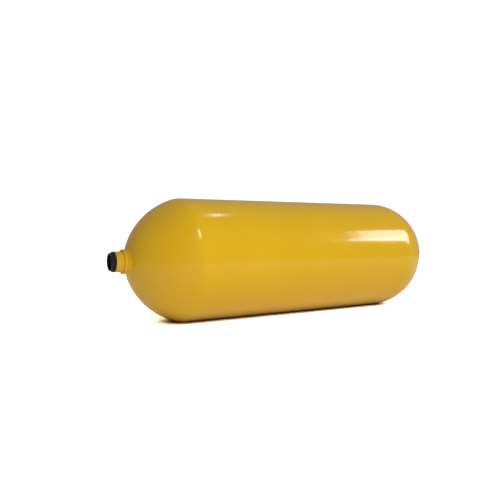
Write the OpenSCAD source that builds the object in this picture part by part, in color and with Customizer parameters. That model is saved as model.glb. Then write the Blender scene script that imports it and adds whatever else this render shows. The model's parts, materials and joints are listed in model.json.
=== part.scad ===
// Seamless steel diving cylinder, lying on its side, with a screwed transport plug in its neck.
// Millimetres, +Z up. The axis runs along X and the neck points to -X.
// The origin is under the middle of the overall length, on the line that the wall rests on.
// Every profile is drawn as (radius, height), where height 0 is the plane in which the
// straight wall turns into the shoulder, and height grows towards the neck.

/* [Wall] */
// Outside diameter of the straight wall
body_d = 204; // [170:1:245]
// Length of the straight wall between the two domes
wall_len = 427; // [300:1:650]
// Thickness of the straight wall
wall_t = 5.6; // [4:0.1:9]

/* [Shoulder] */
// Radius of the knuckle between the wall and the shoulder
knuckle_r = 41; // [33:1:52]
// Angle that the knuckle turns through before the shoulder arc takes over
knuckle_turn = 19.2; // [14:0.2:26]
// Radius of the long arc of the shoulder
shoulder_r = 120; // [108:0.5:130]
// Extra thickness of the shoulder where it gathers into the neck
shoulder_extra = 6; // [0:0.5:10]

/* [Base] */
// How far the base's pole stops short of a full hemisphere
base_drop = 4.5; // [1:0.5:5]
// Distance from the axis to the centre of the knuckle between the wall and the base
base_knuckle_off = 8; // [7.5:0.5:20]
// Extra thickness of the base at its pole, over the wall's
base_extra = 2.5; // [0:0.1:3.4]

/* [Neck] */
// Outside diameter of the neck
neck_d = 33; // [28:0.2:42]
// Length of the cylindrical neck above its root fillet
neck_len = 14.6; // [12:0.2:26]
// Radius of the fillet between the shoulder and the neck
root_fillet = 9; // [5:0.5:12]
// Chamfer around the neck's end face
neck_chamfer = 0.8; // [0.3:0.1:1.5]

/* [Neck ring] */
// Radial thickness of the ring shrunk onto the neck
ring_t = 3.1; // [1.8:0.1:8]
// Width of the ring along the neck
ring_w = 4.4; // [3:0.2:7]
// How far the ring's turned seat is sunk into the top of the root fillet
ring_sink = 2.5; // [0:0.1:3]
// Chamfer on the ring's two outer edges
ring_chamfer = 1; // [0.3:0.1:1.3]
// Gap that keeps the ring clear of the neck and of the step at its back
ring_clearance = 0.02; // [0.01:0.01:0.1]

/* [Neck thread] */
// Nominal diameter of the parallel thread
thread_d = 18; // [14:0.2:22]
// Pitch of the thread
thread_pitch = 1.5; // [1:0.25:2]

/* [Seal] */
// Thickness of the sealing ring's round section
seal_section = 2.6; // [1.8:0.1:3.2]
// Gap between the sealing ring and each face of its recess
seal_gap = 0.2; // [0.1:0.05:0.3]
// Radial gap between the sealing ring and the plug's shank
seal_clearance = 0.08; // [0.02:0.01:0.1]

/* [Plug] */
// Diameter of the plug's flange
flange_d = 32.6; // [30.6:0.2:41]
// Thickness of the flange
flange_t = 2.8; // [2.2:0.2:5]
// Diameter of the ribbed grip in front of the flange
grip_d = 29; // [27:0.2:30.4]
// Length of the grip
grip_len = 3.8; // [3.2:0.2:10]
// Rounding of the grip's front edge
grip_round = 1; // [0.3:0.1:1.4]
// Diameter of the hollow in the grip's face
dish_d = 24; // [14:0.5:24.5]
// Depth of the hollow
dish_depth = 5; // [0.4:0.2:5.2]
// Length of the threaded shank below the flange
shank_len = 14.6; // [13:0.2:18]
// Diameter of the hollow up the middle of the shank
core_d = 10; // [5:0.5:12]
// Depth of that hollow
core_depth = 12; // [4:0.5:13]
// Radial running clearance between the shank and the bore
shank_clearance = 0.06; // [0.02:0.01:0.1]
// Gap between the flange and the neck's end face
seat_gap = 0.1; // [0.05:0.05:0.3]

/* [Hidden] */
$fn = 180;

body_r = body_d / 2;
neck_r = neck_d / 2;

// A metric thread's bore is drilled 0.5413 pitches inside its nominal radius.
MINOR_DEPTH = 0.5413;
bore_r = thread_d / 2 - MINOR_DEPTH * thread_pitch;
shank_r = bore_r - shank_clearance;

// The shoulder's long arc: it continues the knuckle tangentially, and its centre lies just
// past the axis, which gives the shoulder its slightly pointed, ogival shape.
shoulder_arc_c = arc_centre(body_r, knuckle_r, shoulder_r, knuckle_turn);

// The root fillet touches the long arc from outside and ends on the neck's cylinder.
fillet_c = [
    neck_r + root_fillet,
    shoulder_arc_c.y + sqrt(pow(shoulder_r + root_fillet, 2)
        - pow(neck_r + root_fillet - shoulder_arc_c.x, 2))
];
fillet_foot = shoulder_arc_c
    + shoulder_r * (fillet_c - shoulder_arc_c) / norm(fillet_c - shoulder_arc_c);
neck_root = fillet_c.y;
neck_face = neck_root + neck_len;
ring_seat = neck_root - ring_sink;

// The cavity follows the outside at the wall's thickness, and more at the neck and the pole.
cavity_r = body_r - wall_t;
cavity_knuckle_r = knuckle_r - wall_t;
cavity_shoulder_r = shoulder_r - wall_t - shoulder_extra;

// The base's knuckle and pole, outside and inside, from the same offsets.
base_knuckle_r = body_r - base_knuckle_off;
base_h = body_r - base_drop;
cavity_base_knuckle_r = cavity_r - base_knuckle_off;
cavity_base_h = cavity_r - base_drop - base_extra;

// The recess in the neck's end face takes the sealing ring.
seal_in_r = shank_r + seal_clearance;
recess_r = seal_in_r + seal_section + seal_gap;
recess_depth = seal_section + 2 * seal_gap - seat_gap;
seal_height = neck_face - recess_depth + seal_gap + seal_section / 2;

// The plug, from the end of its shank to the face of its grip.
flange_bottom = neck_face + seat_gap;
grip_bottom = flange_bottom + flange_t;
plug_face = grip_bottom + grip_len;
shank_end = flange_bottom - shank_len;
SHANK_CHAMFER = 1;
FLANGE_CHAMFER = 0.4;

// Heights of the two ends of the whole object, and the place of height 0 along X.
base_pole = -wall_len - base_h;
shoulder_x = (plug_face + base_pole) / 2;

// Cuts run this far past the face that they open.
OVERCUT = 1;

// Centre of a dome's long arc, from the side's radius, both arcs' radii and the knuckle's turn
function arc_centre(side_r, small_r, large_r, turn) =
    [side_r - small_r, 0] - (large_r - small_r) * [cos(turn), sin(turn)];

// Crown radius of a dome of height h that is tangent to its knuckle and centred on the axis
function crown_radius(side_r, small_r, h) =
    (pow(side_r - small_r, 2) + h * h - small_r * small_r) / (2 * (h - small_r));

// Turn of the knuckle on a dome whose crown is centred on the axis
function crown_turn(side_r, small_r, large_r, h) = atan2(large_r - h, side_r - small_r);

// Half of a dome's profile: a knuckle that meets the side, then one long tangent arc.
// The knuckle's whole circle lies inside the long arc's circle, so it needs no other limit.
module dome(side_r, small_r, large_r, turn) {
    knuckle_c = [side_r - small_r, 0];
    arc_c = arc_centre(side_r, small_r, large_r, turn);
    far = 4 * large_r;
    ray_start = [0, arc_c.y - arc_c.x * tan(turn)];
    ray_end = knuckle_c + far * [cos(turn), sin(turn)];
    intersection() {
        translate(knuckle_c) circle(small_r);
        translate([0, -small_r]) square([side_r + small_r, 2 * small_r]);
    }
    intersection() {
        translate(arc_c) circle(large_r);
        polygon([ray_start, ray_end, [0, far]]);
    }
}

// Half of a closed vessel's profile: a straight side, the shoulder above and the base below
module vessel(side_r, shoulder_small, shoulder_large, base_small, base_height) {
    base_large = crown_radius(side_r, base_small, base_height);
    base_turn = crown_turn(side_r, base_small, base_large, base_height);
    translate([0, -wall_len]) square([side_r, wall_len]);
    dome(side_r, shoulder_small, shoulder_large, knuckle_turn);
    translate([0, -wall_len]) mirror([0, 1])
        dome(side_r, base_small, base_large, base_turn);
}

// The neck with its root fillet, ring seat and end chamfer. The block's slanted foot is buried
// in the shoulder, and a circle cuts the concave fillet out of its side.
module neck_profile() {
    block_r = neck_r + root_fillet;
    buried_foot = fillet_foot + (fillet_foot - fillet_c);
    difference() {
        polygon([
            [0, 0], [buried_foot.x, buried_foot.y], fillet_c,
            [block_r, neck_face], [0, neck_face]
        ]);
        translate(fillet_c) circle(root_fillet);
        translate([neck_r, ring_seat]) square([block_r, neck_len + ring_sink + OVERCUT]);
        polygon([
            [neck_r - neck_chamfer, neck_face], [neck_r + OVERCUT, neck_face],
            [neck_r + OVERCUT, neck_face - neck_chamfer], [neck_r, neck_face - neck_chamfer]
        ]);
    }
}

// A step cut from the neck's end face down to a given height
module neck_cut(r, bottom) {
    translate([0, bottom]) square([r, neck_face + OVERCUT - bottom]);
}

// A band between two heights with both outer edges chamfered
module chamfered_band(in_r, out_r, bottom, top, chamfer) {
    polygon([
        [in_r, bottom], [out_r - chamfer, bottom], [out_r, bottom + chamfer],
        [out_r, top - chamfer], [out_r - chamfer, top], [in_r, top]
    ]);
}

// Turns a profile about the axis and lays it down with the neck towards -X
module lathe() {
    translate([shoulder_x, 0, body_r]) rotate([0, -90, 0]) rotate_extrude() children();
}

// Hollow steel vessel: wall, shoulder, base and neck in one forging
module cylinder_shell() {
    color([0.86, 0.66, 0.12]) lathe() difference() {
        union() {
            vessel(body_r, knuckle_r, shoulder_r, base_knuckle_r, base_h);
            neck_profile();
        }
        vessel(cavity_r, cavity_knuckle_r, cavity_shoulder_r,
            cavity_base_knuckle_r, cavity_base_h);
        neck_cut(bore_r, 0);
        neck_cut(recess_r, neck_face - recess_depth);
    }
}

// Steel ring shrunk onto the neck, with its back close to the step of its seat
module neck_ring() {
    bottom = ring_seat + ring_clearance;
    ring_in_r = neck_r + ring_clearance;
    color([0.82, 0.62, 0.12]) lathe()
        chamfered_band(ring_in_r, ring_in_r + ring_t, bottom, bottom + ring_w, ring_chamfer);
}

// Round-section rubber ring between the plug's flange and the neck
module plug_o_ring() {
    color([0.10, 0.10, 0.11]) lathe()
        translate([seal_in_r + seal_section / 2, seal_height]) circle(seal_section / 2);
}

// Front grip of the plug, with its outer edge rounded
module grip_profile() {
    grip_r = grip_d / 2;
    translate([0, grip_bottom]) square([grip_r, grip_len - grip_round]);
    translate([0, grip_bottom]) square([grip_r - grip_round, grip_len]);
    translate([grip_r - grip_round, plug_face - grip_round]) circle(grip_round);
}

// Moulded screw plug: shank, flange and grip, hollow up the middle and in front
module neck_plug() {
    color([0.09, 0.09, 0.10]) lathe() difference() {
        union() {
            polygon([
                [0, shank_end], [shank_r - SHANK_CHAMFER, shank_end],
                [shank_r, shank_end + SHANK_CHAMFER], [shank_r, grip_bottom], [0, grip_bottom]
            ]);
            chamfered_band(0, flange_d / 2, flange_bottom, grip_bottom, FLANGE_CHAMFER);
            grip_profile();
        }
        translate([0, plug_face - dish_depth]) square([dish_d / 2, dish_depth + OVERCUT]);
        translate([0, shank_end - OVERCUT]) square([core_d / 2, core_depth + OVERCUT]);
    }
}

cylinder_shell();
neck_ring();
plug_o_ring();
neck_plug();
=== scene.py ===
import json
import math

import bpy
from mathutils import Matrix, Vector


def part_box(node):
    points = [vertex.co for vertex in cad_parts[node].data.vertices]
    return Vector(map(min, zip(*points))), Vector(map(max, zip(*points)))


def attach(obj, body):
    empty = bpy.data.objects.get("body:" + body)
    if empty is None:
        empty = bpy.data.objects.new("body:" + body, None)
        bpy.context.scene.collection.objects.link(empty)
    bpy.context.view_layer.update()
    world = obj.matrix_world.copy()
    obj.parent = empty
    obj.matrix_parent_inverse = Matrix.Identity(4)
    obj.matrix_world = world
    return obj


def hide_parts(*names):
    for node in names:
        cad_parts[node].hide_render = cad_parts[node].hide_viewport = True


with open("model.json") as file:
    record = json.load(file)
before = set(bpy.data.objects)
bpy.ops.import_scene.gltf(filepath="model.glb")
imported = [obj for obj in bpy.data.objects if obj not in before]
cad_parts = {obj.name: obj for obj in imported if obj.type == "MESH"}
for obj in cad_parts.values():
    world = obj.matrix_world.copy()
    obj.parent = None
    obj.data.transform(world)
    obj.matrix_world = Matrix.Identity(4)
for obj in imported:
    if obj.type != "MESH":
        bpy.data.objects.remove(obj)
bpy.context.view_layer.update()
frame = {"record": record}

# --- Steel vessel -------------------------------------------------------------------------
# A seamless diving cylinder, hot spun from one forging of chromium-molybdenum steel. It is
# hollow, with a knuckled shoulder that gathers into a slender threaded neck, and a rounded
# base. The outside is sprayed with gloss enamel, and the neck's face and bore are turned.
MM = 0.001
SEGMENTS = 240

shell_low, shell_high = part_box("cylinder_shell")
band = next(m for m in frame["record"]["mounts"] if m["name"] == "tank_band")
AXIS_Z = (shell_low.z + shell_high.z) / 2
BODY_R = band["dims"]["r_mm"]
WALL_LEN = band["dims"]["length_mm"]
WALL_T = 5.6
KNUCKLE_R, KNUCKLE_TURN, SHOULDER_R, SHOULDER_EXTRA = 41, 19.2, 120, 6
BASE_DROP, BASE_OFF, BASE_EXTRA = 4.5, 8, 2.5
NECK_R, NECK_LEN, ROOT_FILLET, RING_SINK, NECK_CHAMFER = 16.5, 14.6, 9, 2.5, 0.8
SHANK_GAP, SEAL_SECTION, SEAL_GAP, SEAL_SLACK, SEAT_GAP = 0.06, 2.6, 0.2, 0.08, 0.1
THREAD_R, PITCH = 9, 1.5
THREAD_DEPTH = 0.5413 * PITCH
BORE_R = THREAD_R - THREAD_DEPTH
SHANK_R = BORE_R - SHANK_GAP
SEAL_IN_R = SHANK_R + SEAL_SLACK
RECESS_R = SEAL_IN_R + SEAL_SECTION + SEAL_GAP
RECESS_DEPTH = SEAL_SECTION + 2 * SEAL_GAP - SEAT_GAP
RECESS_CHAMFER, THREAD_CHAMFER, THREAD_LEAD, THREAD_RUN_OUT = 0.3, 0.2, 1, 0.4
THREAD_STEPS = 12
CREASE = 28


def arc(centre, radius, start, end, steps):
    """Points (height, radius) on an arc. Angle 0 points away from the axis and 90 to the neck."""
    angles = [math.radians(start + (end - start) * i / steps) for i in range(steps + 1)]
    return [(centre[0] + radius * math.sin(a), centre[1] + radius * math.cos(a)) for a in angles]


def shoulder_centre(side_r, small_r, large_r):
    """Centre (height, radius) of the shoulder's long arc, tangent to its knuckle."""
    turn = math.radians(KNUCKLE_TURN)
    return -(large_r - small_r) * math.sin(turn), side_r - small_r - (large_r - small_r) * math.cos(turn)


def base_profile(side_r, extra, steps):
    """The base from the wall's end to the pole, as (height, radius)."""
    small_r, height = side_r - BASE_OFF, side_r - BASE_DROP - extra
    large_r = (BASE_OFF**2 + height**2 - small_r**2) / (2 * (height - small_r))
    turn = math.degrees(math.atan2(large_r - height, BASE_OFF))
    knuckle = arc((-WALL_LEN, BASE_OFF), small_r, 0, -turn, steps)
    crown = arc((-WALL_LEN - height + large_r, 0), large_r, -turn, -90, steps)
    return knuckle + crown[1:-1] + [(-WALL_LEN - height, 0)]


def angle_at(centre, radius, r):
    """Angle in degrees at which an arc comes down to radius r."""
    return math.degrees(math.acos((r - centre[1]) / radius))


outer_c = shoulder_centre(BODY_R, KNUCKLE_R, SHOULDER_R)
fillet_r = NECK_R + ROOT_FILLET
fillet_rise = math.sqrt((SHOULDER_R + ROOT_FILLET) ** 2 - (fillet_r - outer_c[1]) ** 2)
fillet_c = (outer_c[0] + fillet_rise, fillet_r)
fillet_turn = math.degrees(math.atan2(fillet_c[0] - outer_c[0], fillet_c[1] - outer_c[1]))
NECK_ROOT = fillet_c[0]
NECK_FACE = NECK_ROOT + NECK_LEN
RECESS_FLOOR = NECK_FACE - RECESS_DEPTH
SHOULDER_X = shell_low.x + NECK_FACE * MM

inner_r = BODY_R - WALL_T
inner_small, inner_large = KNUCKLE_R - WALL_T, SHOULDER_R - WALL_T - SHOULDER_EXTRA
inner_c = shoulder_centre(inner_r, inner_small, inner_large)


def thread(height, turn):
    """Depth of a 60 degree thread, 0 to 1, at a height along the axis and a turn about it."""
    phase = (height / PITCH - turn) % 1
    return min(max((0.375 - abs(phase - 0.5)) / 0.3125, 0), 1)


def spin(name, rows, segments, closed=False):
    """Spins rows about the tank's axis into one mesh. A row is (height, radius, material), and
    a fourth entry, where there is one, gives the radius by height and turn."""
    verts, faces, slots, rings = [], [], [], []
    for row in rows:
        height, radius, _, wave = (*row, None)[:4]
        x = SHOULDER_X - height * MM
        if radius < 1e-6:
            rings.append([len(verts)] * segments)
            verts.append((x, 0, AXIS_Z))
            continue
        rings.append(range(len(verts), len(verts) + segments))
        for i in range(segments):
            turn = i / segments
            r = (wave(height, turn) if wave else radius) * MM
            a = 2 * math.pi * turn
            verts.append((x, r * math.sin(a), AXIS_Z + r * math.cos(a)))
    pairs = list(zip(range(len(rows)), range(1, len(rows))))
    if closed:
        pairs.append((len(rows) - 1, 0))
    for j, k in pairs:
        a, b = rings[j], rings[k]
        for i in range(segments):
            n = (i + 1) % segments
            face = list(dict.fromkeys((a[i], a[n], b[n], b[i])))
            faces.append(face)
            slots.append(rows[k][2])
    mesh = bpy.data.meshes.new(name)
    mesh.from_pydata(verts, [], faces)
    mesh.polygons.foreach_set("material_index", slots)
    mesh.shade_smooth()
    mesh.set_sharp_from_angle(angle=math.radians(CREASE))
    mesh.update()
    piece = bpy.data.objects.new(name, mesh)
    bpy.context.scene.collection.objects.link(piece)
    return piece


def painted(points, slot=0):
    return [(h, r, slot) for h, r in points]


ENAMEL, TURNED, INSIDE = 0, 1, 2
outer = base_profile(BODY_R, 0, 28)[::-1]
outer += [(-WALL_LEN + WALL_LEN * i / 24, BODY_R) for i in range(1, 24)]
outer += arc((0, BODY_R - KNUCKLE_R), KNUCKLE_R, 0, KNUCKLE_TURN, 12)
outer += arc(outer_c, SHOULDER_R, KNUCKLE_TURN, fillet_turn, 30)[1:]
seat_turn = math.degrees(math.asin(RING_SINK / ROOT_FILLET))
outer += arc(fillet_c, ROOT_FILLET, fillet_turn + 180, seat_turn + 180, 12)[1:]
outer += [(NECK_ROOT - RING_SINK, NECK_R), (NECK_FACE - NECK_CHAMFER, NECK_R)]
turned = [
    (NECK_FACE, NECK_R - NECK_CHAMFER), (NECK_FACE, RECESS_R + RECESS_CHAMFER),
    (NECK_FACE - RECESS_CHAMFER, RECESS_R), (RECESS_FLOOR, RECESS_R),
    (RECESS_FLOOR, THREAD_R + THREAD_CHAMFER),
]
THREAD_TOP = RECESS_FLOOR - THREAD_LEAD
thread_end = inner_c[0] + inner_large * math.sin(math.radians(angle_at(inner_c, inner_large, BORE_R)))
thread_rows = int((THREAD_TOP - thread_end - 1) / PITCH * THREAD_STEPS)


def bore_wave(height, turn):
    run_out = min(max((height - thread_end - THREAD_RUN_OUT) / PITCH, 0), 1)
    return BORE_R + THREAD_DEPTH * thread(height, turn) * run_out


bore = [
    (THREAD_TOP - i * PITCH / THREAD_STEPS, BORE_R, TURNED, bore_wave) for i in range(thread_rows + 1)
]
inside = [(thread_end, BORE_R)]
inside += arc(inner_c, inner_large, angle_at(inner_c, inner_large, BORE_R), KNUCKLE_TURN, 20)[1:]
inside += arc((0, inner_r - inner_small), inner_small, KNUCKLE_TURN, 0, 8)[1:]
inside += [(-WALL_LEN * i / 12, inner_r) for i in range(1, 12)]
inside += base_profile(inner_r, BASE_EXTRA, 16)
rows = painted(outer) + painted(turned, TURNED) + bore + painted(inside, INSIDE)
shell = spin("steel_vessel", rows, SEGMENTS)


def linear(code):
    """An sRGB hex colour as linear RGBA."""
    channels = [int(code[i:i + 2], 16) / 255 for i in (1, 3, 5)]
    return tuple(c / 12.92 if c <= 0.04045 else ((c + 0.055) / 1.055) ** 2.4 for c in channels) + (1,)


def add(tree, kind, inputs=None, **settings):
    """Adds a node, sets its attributes and gives each named input a value or a link."""
    made = tree.nodes.new(kind)
    for name, value in settings.items():
        setattr(made, name, value)
    for name, value in (inputs or {}).items():
        if isinstance(value, bpy.types.NodeSocket):
            tree.links.new(value, made.inputs[name])
        else:
            made.inputs[name].default_value = value
    return made


def material(name):
    """A new material with only its output node, and its node tree."""
    made = bpy.data.materials.new(name)
    made.use_nodes = True
    made.node_tree.nodes.clear()
    return made, made.node_tree


def finish(tree, shader):
    add(tree, "ShaderNodeOutputMaterial", {"Surface": shader.outputs["BSDF"]})


# Gloss alkyd enamel, sprayed over primer: a smooth film with a faint orange peel about 4 mm
# across, small drifts of shade, and a few rubbed places where the gloss is duller.
enamel, tree = material("gloss_yellow_enamel")
place = add(tree, "ShaderNodeTexCoord").outputs["Object"]
peel = add(tree, "ShaderNodeTexNoise", {
    "Vector": place, "Scale": 1 / (4 * MM), "Detail": 1.5, "Roughness": 0.4})
drift = add(tree, "ShaderNodeTexNoise", {"Vector": place, "Scale": 1 / (120 * MM), "Detail": 3})
shade = add(tree, "ShaderNodeValToRGB", {"Fac": drift.outputs["Fac"]})
shade.color_ramp.elements[0].position, shade.color_ramp.elements[0].color = 0.3, linear("#DCB00A")
shade.color_ramp.elements[1].position, shade.color_ramp.elements[1].color = 0.7, linear("#E0B40B")
rub_place = add(tree, "ShaderNodeMapping", {"Vector": place, "Scale": (40, 90, 90)})
rubs = add(tree, "ShaderNodeTexNoise", {"Vector": rub_place.outputs["Vector"], "Scale": 1, "Detail": 6})
gloss = add(tree, "ShaderNodeMapRange", {
    "Value": rubs.outputs["Fac"], "From Min": 0.45, "From Max": 0.85, "To Min": 0.12, "To Max": 0.2})
bump = add(tree, "ShaderNodeBump", {"Height": peel.outputs["Fac"], "Strength": 1, "Distance": 0.02 * MM})
finish(tree, add(tree, "ShaderNodeBsdfPrincipled", {
    "Base Color": shade.outputs["Color"], "Roughness": gloss.outputs["Result"],
    "Normal": bump.outputs["Normal"], "IOR": 1.5}))

# Turned steel: bright bare metal with tool rings around the axis, drawn 0.5 mm across, which
# is coarser than the real cut, so that they show.
turned_steel, tree = material("turned_steel")
place = add(tree, "ShaderNodeTexCoord").outputs["Object"]
centred = add(tree, "ShaderNodeVectorMath", {0: place, 1: (0, 0, AXIS_Z)}, operation="SUBTRACT")
split = add(tree, "ShaderNodeSeparateXYZ", {"Vector": centred.outputs["Vector"]})
across = add(tree, "ShaderNodeCombineXYZ", {"X": split.outputs["Y"], "Y": split.outputs["Z"]})
radius = add(tree, "ShaderNodeVectorMath", {0: across.outputs["Vector"]}, operation="LENGTH")
lathe = add(tree, "ShaderNodeCombineXYZ", {"X": split.outputs["X"], "Y": radius.outputs["Value"]})
rings = add(tree, "ShaderNodeTexNoise", {
    "Vector": lathe.outputs["Vector"], "Scale": 1 / (0.5 * MM), "Detail": 2})
tone = add(tree, "ShaderNodeValToRGB", {"Fac": rings.outputs["Fac"]})
tone.color_ramp.elements[0].color, tone.color_ramp.elements[1].color = linear("#9C988F"), linear("#C9C5BC")
bump = add(tree, "ShaderNodeBump", {
    "Height": rings.outputs["Fac"], "Strength": 0.5, "Distance": 0.03 * MM})
finish(tree, add(tree, "ShaderNodeBsdfPrincipled", {
    "Base Color": tone.outputs["Color"], "Metallic": 1, "Roughness": 0.32,
    "Normal": bump.outputs["Normal"]}))

# Phosphated steel: the matt grey conversion coat inside the vessel.
phosphate, tree = material("phosphated_steel")
place = add(tree, "ShaderNodeTexCoord").outputs["Object"]
crystal = add(tree, "ShaderNodeTexNoise", {"Vector": place, "Scale": 1 / (1.5 * MM), "Detail": 4})
tone = add(tree, "ShaderNodeValToRGB", {"Fac": crystal.outputs["Fac"]})
tone.color_ramp.elements[0].color, tone.color_ramp.elements[1].color = linear("#3E3F40"), linear("#5C5D5E")
finish(tree, add(tree, "ShaderNodeBsdfPrincipled", {"Base Color": tone.outputs["Color"], "Roughness": 0.7}))

for coat in (enamel, turned_steel, phosphate):
    shell.data.materials.append(coat)
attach(shell, "tank")
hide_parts("cylinder_shell")

# --- Neck ring ----------------------------------------------------------------------------
# A plain steel ring, shrunk onto the neck just above its root and painted with the vessel.
# Its edges are rounded, and the paint leaves a thin dark joint where it meets the neck.
ring_low, ring_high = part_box("neck_ring")
RING_R = (ring_high.z - ring_low.z) / 2 / MM
RING_TOP, RING_BOTTOM = [(SHOULDER_X - x) / MM for x in (ring_low.x, ring_high.x)]
RING_ROUND, RING_CHAMFER, RING_BORE = 1, 0.35, NECK_R + 0.02
ring_rows = [(RING_BOTTOM, RING_BORE)]
ring_rows += arc((RING_BOTTOM + RING_ROUND, RING_R - RING_ROUND), RING_ROUND, -90, 0, 8)
ring_rows += arc((RING_TOP - RING_ROUND, RING_R - RING_ROUND), RING_ROUND, 0, 90, 8)
ring_rows += [(RING_TOP, RING_BORE + RING_CHAMFER), (RING_TOP - RING_CHAMFER, RING_BORE)]
neck_ring = spin("shrunk_ring", painted(ring_rows), SEGMENTS, closed=True)
neck_ring.data.materials.append(enamel)
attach(neck_ring, "tank")
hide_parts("neck_ring")

# --- Sealing ring -------------------------------------------------------------------------
# A round-section ring of black nitrile rubber, which sits in the neck's recess under the
# plug's flange. It is moulded in two halves and keeps a fine flash line around its outside.
seal_low, seal_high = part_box("plug_o_ring")
SEAL_MID = (SHOULDER_X - (seal_low.x + seal_high.x) / 2) / MM
SEAL_R = SEAL_IN_R + SEAL_SECTION / 2
FLASH = 0.06
flash = [(SEAL_MID, SEAL_IN_R + SEAL_SECTION + FLASH)]
seal_rows = arc((SEAL_MID, SEAL_R), SEAL_SECTION / 2, 6, 354, 40)
o_ring = spin("sealing_ring", painted(flash + seal_rows), 96, closed=True)

# Moulded nitrile rubber: dull black, with a bloom of slightly greyer patches.
rubber, tree = material("nitrile_rubber")
place = add(tree, "ShaderNodeTexCoord").outputs["Object"]
bloom = add(tree, "ShaderNodeTexNoise", {"Vector": place, "Scale": 1 / (2 * MM), "Detail": 4})
tone = add(tree, "ShaderNodeValToRGB", {"Fac": bloom.outputs["Fac"]})
tone.color_ramp.elements[0].color, tone.color_ramp.elements[1].color = linear("#141415"), linear("#232324")
finish(tree, add(tree, "ShaderNodeBsdfPrincipled", {
    "Base Color": tone.outputs["Color"], "Roughness": 0.55, "IOR": 1.52}))
o_ring.data.materials.append(rubber)
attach(o_ring, "seal")
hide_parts("plug_o_ring")

# --- Transport plug -----------------------------------------------------------------------
# A screw plug moulded in black polyethylene, which keeps dirt out of the bore until a valve
# is fitted. It has a threaded hollow shank, a flange and a ribbed, dished finger grip.
plug_low, plug_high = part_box("neck_plug")
PLUG_FACE, SHANK_END = [(SHOULDER_X - x) / MM for x in (plug_low.x, plug_high.x)]
FLANGE_R = (plug_high.z - plug_low.z) / 2 / MM
FLANGE_BOTTOM, FLANGE_T = NECK_FACE + SEAT_GAP, 2.8
GRIP_BOTTOM = FLANGE_BOTTOM + FLANGE_T
GRIP_R, GRIP_ROUND, RIBS, RIB_DEPTH = 14.5, 1, 40, 0.5
DISH_R, DISH_DEPTH, CORE_R, CORE_DEPTH = 12, 5, 5, 12
SHANK_CHAMFER, CORE_CHAMFER, FLANGE_BACK_ROUND, FLANGE_ROUND, DISH_ROUND = 1, 0.2, 0.4, 0.6, 0.3
GATE_R, GATE_RISE = 1.1, 0.35
PLUG_THREAD_TOP = RECESS_FLOOR - 1.2
PLUG_THREAD_BOTTOM = SHANK_END + SHANK_CHAMFER


def shank_wave(height, turn):
    run_in = min(max((height - PLUG_THREAD_BOTTOM) / PITCH, 0), 1)
    run_out = min(max((PLUG_THREAD_TOP - height) / PITCH, 0), 1)
    return SHANK_R + THREAD_DEPTH * thread(height, turn) * min(run_in, run_out)


def ribbed(radius, depth):
    """Radius of the grip with the grooves between its ribs, by height and turn."""
    return lambda height, turn: radius - depth * (0.5 + 0.5 * math.cos(2 * math.pi * RIBS * turn)) ** 2


plug_rows = painted([
    (SHANK_END + CORE_DEPTH, 0), (SHANK_END + CORE_DEPTH, CORE_R), (SHANK_END, CORE_R + CORE_CHAMFER),
    (SHANK_END, SHANK_R - SHANK_CHAMFER), (PLUG_THREAD_BOTTOM, SHANK_R),
])
shank_steps = int((PLUG_THREAD_TOP - PLUG_THREAD_BOTTOM) / PITCH * THREAD_STEPS)
for step in range(1, shank_steps + 1):
    plug_rows.append((PLUG_THREAD_BOTTOM + step * PITCH / THREAD_STEPS, SHANK_R, 0, shank_wave))
plug_rows += painted([(PLUG_THREAD_TOP, SHANK_R), (FLANGE_BOTTOM, SHANK_R)])
flange_back = (FLANGE_BOTTOM + FLANGE_BACK_ROUND, FLANGE_R - FLANGE_BACK_ROUND)
flange_front = (GRIP_BOTTOM - FLANGE_ROUND, FLANGE_R - FLANGE_ROUND)
plug_rows += painted(arc(flange_back, FLANGE_BACK_ROUND, -90, 0, 4))
plug_rows += painted(arc(flange_front, FLANGE_ROUND, 0, 90, 5))
plug_rows += painted([(GRIP_BOTTOM, GRIP_R + 0.3)])
for height in (GRIP_BOTTOM + 0.3, GRIP_BOTTOM + 1, PLUG_FACE - GRIP_ROUND - 0.4):
    plug_rows.append((height, GRIP_R, 0, ribbed(GRIP_R, RIB_DEPTH)))
for height, radius in arc((PLUG_FACE - GRIP_ROUND, GRIP_R - GRIP_ROUND), GRIP_ROUND, 0, 90, 6):
    plug_rows.append((height, radius, 0, ribbed(radius, RIB_DEPTH * (PLUG_FACE - height) / GRIP_ROUND)))
dish_floor = PLUG_FACE - DISH_DEPTH
plug_rows += painted(arc((PLUG_FACE - DISH_ROUND, DISH_R + DISH_ROUND), DISH_ROUND, 90, 180, 4))
plug_rows += painted([
    (dish_floor + DISH_ROUND, DISH_R), (dish_floor, DISH_R - DISH_ROUND), (dish_floor, GATE_R),
    (dish_floor + GATE_RISE, GATE_R - 0.2), (dish_floor + GATE_RISE, 0),
])
plug = spin("transport_plug", plug_rows, 320)

# Moulded black polyethylene: waxy half-gloss, with a fine eroded mould grain.
polythene, tree = material("black_polyethylene")
place = add(tree, "ShaderNodeTexCoord").outputs["Object"]
grain = add(tree, "ShaderNodeTexNoise", {"Vector": place, "Scale": 1 / (0.5 * MM), "Detail": 2})
tone = add(tree, "ShaderNodeValToRGB", {"Fac": grain.outputs["Fac"]})
tone.color_ramp.elements[0].color, tone.color_ramp.elements[1].color = linear("#09090A"), linear("#101011")
bump = add(tree, "ShaderNodeBump", {"Height": grain.outputs["Fac"], "Strength": 0.5, "Distance": 0.03 * MM})
finish(tree, add(tree, "ShaderNodeBsdfPrincipled", {
    "Base Color": tone.outputs["Color"], "Roughness": 0.45, "IOR": 1.51, "Normal": bump.outputs["Normal"]}))
plug.data.materials.append(polythene)
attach(plug, "plug")
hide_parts("neck_plug")

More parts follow.
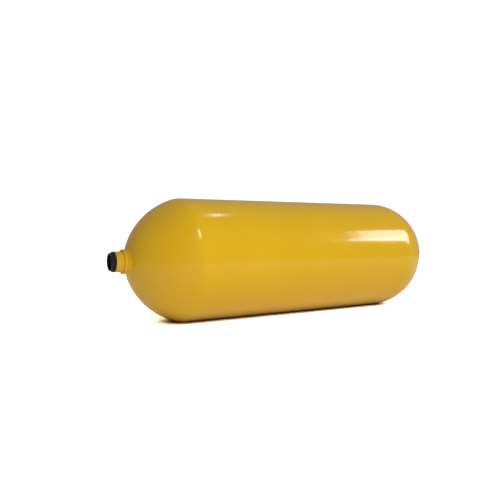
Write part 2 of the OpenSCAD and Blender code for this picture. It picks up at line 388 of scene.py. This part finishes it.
# --- Floor --------------------------------------------------------------------------------
# A wide sheet of matt white board, lit until it burns out to white for the camera but not for
# the tank. Close to the line of contact its colour is painted down to dark brown. This painted
# contact shadow stands in for the shade there and for the light bouncing between the enamel and
# the board. Its faint warm glow is masked off over the same strip, which adds painted shade.
FLOOR_HALF = 2.2
floor_mesh = bpy.data.meshes.new("studio_floor")
corners = [(x * FLOOR_HALF, y * FLOOR_HALF, 0) for x, y in ((-1, -1), (1, -1), (1, 1), (-1, 1))]
floor_mesh.from_pydata(corners, [], [(0, 1, 2, 3)])
floor = bpy.data.objects.new("studio_floor", floor_mesh)
bpy.context.scene.collection.objects.link(floor)
board, tree = material("white_board")
point = add(tree, "ShaderNodeNewGeometry").outputs["Position"]
spot = add(tree, "ShaderNodeSeparateXYZ", {"Vector": point})
along = add(tree, "ShaderNodeMath", {0: spot.outputs["X"], 1: band["pos_m"][0]}, operation="SUBTRACT")
from_mid = add(tree, "ShaderNodeMath", {0: along.outputs["Value"]}, operation="ABSOLUTE")
beyond = add(tree, "ShaderNodeMath", {
    0: from_mid.outputs["Value"], 1: WALL_LEN * MM / 2}, operation="SUBTRACT")
past_end = add(tree, "ShaderNodeMath", {0: beyond.outputs["Value"], 1: 0.0}, operation="MAXIMUM")
offset = add(tree, "ShaderNodeCombineXYZ", {"X": past_end.outputs["Value"], "Y": spot.outputs["Y"]})
reach = add(tree, "ShaderNodeVectorMath", {0: offset.outputs["Vector"]}, operation="LENGTH")
# Mask of the painted contact shadow: 0 at the line of contact, rising to 1 at 60 mm from it.
clear = add(tree, "ShaderNodeMapRange", {
    "Value": reach.outputs["Value"], "From Min": 0.012, "From Max": 0.06,
}, interpolation_type="SMOOTHSTEP").outputs["Result"]
seen = add(tree, "ShaderNodeLightPath").outputs["Is Camera Ray"]
full = add(tree, "ShaderNodeMapRange", {"Value": seen, "To Min": 0.86, "To Max": 5}).outputs["Result"]
# Painted contact shadow: the board's colour runs from dark brown at the contact line to white.
painted_shadow_tint = add(tree, "ShaderNodeValToRGB", {"Fac": clear})
painted_shadow_tint.color_ramp.elements[0].color, painted_shadow_tint.color_ramp.elements[1].color = linear("#5A2A0A"), linear("#FFFFFF")
# The board's colour with the painted contact shadow, scaled up for camera rays.
near = add(tree, "ShaderNodeVectorMath", {0: painted_shadow_tint.outputs["Color"], "Scale": full}, operation="SCALE")
matt = add(tree, "ShaderNodeBsdfDiffuse", {"Color": near.outputs["Vector"], "Roughness": 0.5})
# The glow is masked off near the contact line too, which is painted shade.
glow_past_painted_shadow = add(tree, "ShaderNodeMath", {0: clear, 1: 0.17}, operation="MULTIPLY")
lit = add(tree, "ShaderNodeEmission", {"Color": linear("#FFE9D0"), "Strength": glow_past_painted_shadow.outputs["Value"]})
both = add(tree, "ShaderNodeAddShader", {0: matt.outputs["BSDF"], 1: lit.outputs["Emission"]})
add(tree, "ShaderNodeOutputMaterial", {"Surface": both.outputs["Shader"]})
floor_mesh.materials.append(board)

# --- Lights and surroundings --------------------------------------------------------------
# A white backdrop all round, dimmer for the tank than for the camera. Four lamps show in the
# gloss: a large softbox, a strip below it, a front lamp and an overhead strip. Four large fills
# only lift the shade, and leave no reflection.
world = bpy.data.worlds.new("studio")
bpy.context.scene.world = world
world.use_nodes = True
tree = world.node_tree
tree.nodes.clear()
look = add(tree, "ShaderNodeLightPath")
dim = add(tree, "ShaderNodeMapRange", {
    "Value": look.outputs["Is Glossy Ray"], "To Min": 0.26, "To Max": 0.28})
sky = add(tree, "ShaderNodeMapRange", {
    "Value": look.outputs["Is Camera Ray"], "To Min": dim.outputs["Result"], "To Max": 1.05})
glow = add(tree, "ShaderNodeBackground", {"Color": (1, 1, 1, 1), "Strength": sky.outputs["Result"]})
add(tree, "ShaderNodeOutputWorld", {"Surface": glow.outputs["Background"]})


def softbox(name, aim, towards, distance, width, height, power, colour="#FFFFFF", gloss=True):
    """A rectangular lamp that faces a point, with its height square to the tank's axis."""
    lamp = bpy.data.lights.new(name, "AREA")
    lamp.shape, lamp.size, lamp.size_y = "RECTANGLE", width, height
    lamp.energy, lamp.color = power, linear(colour)[:3]
    made = bpy.data.objects.new(name, lamp)
    out = Vector(towards).normalized()
    up = out.cross(Vector((1, 0, 0))).normalized() if abs(out.x) < 0.99 else Vector((0, 0, 1))
    made.matrix_world = Matrix((up.cross(out), up, out)).transposed().to_4x4()
    made.location = Vector(aim) + out * distance
    made.visible_camera = False
    made.visible_glossy = gloss
    bpy.context.scene.collection.objects.link(made)
    return made


softbox("right_softbox", (0.17, -0.09, 0.145), (0.783, -0.444, 0.436), 1.6, 0.57, 0.53, 7.9)
softbox("right_lower_strip", (0.15, -0.09, 0.145), (0.72, -0.565, 0.405), 1.55, 0.3, 0.07, 0.55)
softbox("front_lamp", (-0.21, -0.09, 0.146), (0.105, -0.655, 0.745), 1.8, 0.28, 0.5, 3.6)
softbox("overhead_strip", (-0.17, -0.07, 0.175), (0.475, 0.056, 0.878), 1.6, 0.045, 0.19, 0.25)
softbox("front_fill", (-0.18, 0, 0.1), (0.1, -0.655, 0.745), 1.8, 0.8, 0.8, 3.3, "#FFE8D4", gloss=False)
softbox("near_fill", (-0.3, 0, 0.08), (-0.05, -1, 0.3), 1.0, 0.5, 0.6, 3.1, "#FFFAF6", gloss=False)
softbox("neck_fill", (-0.1, 0, 0.1), (-1, -0.2, 0.35), 2.0, 1, 1, 0.35, "#FFC890", gloss=False)
softbox("back_fill", (0, 0, 0.1), (0, 1, 0.6), 2.2, 1.6, 1, 8, "#FFF0E2", gloss=False)

# --- Camera -------------------------------------------------------------------------------
# Half a tank's width above the axis and about a metre off, towards the neck's end, with a
# 39.6 mm lens on a 36 mm sensor.
camera = bpy.data.objects.new("camera", bpy.data.cameras.new("camera"))
bpy.context.scene.collection.objects.link(camera)
camera.data.lens = 39.6
camera.data.sensor_width = 36
wall_mid = Vector(band["pos_m"])
camera.location = wall_mid + Vector((-0.5946, -0.8355, 0.0499))
camera.rotation_euler = Vector((0.5272, 0.849, -0.0363)).to_track_quat("-Z", "Y").to_euler()
bpy.context.scene.camera = camera
bpy.context.scene.view_settings.view_transform = "Standard"  # colours as mixed, with no film curve
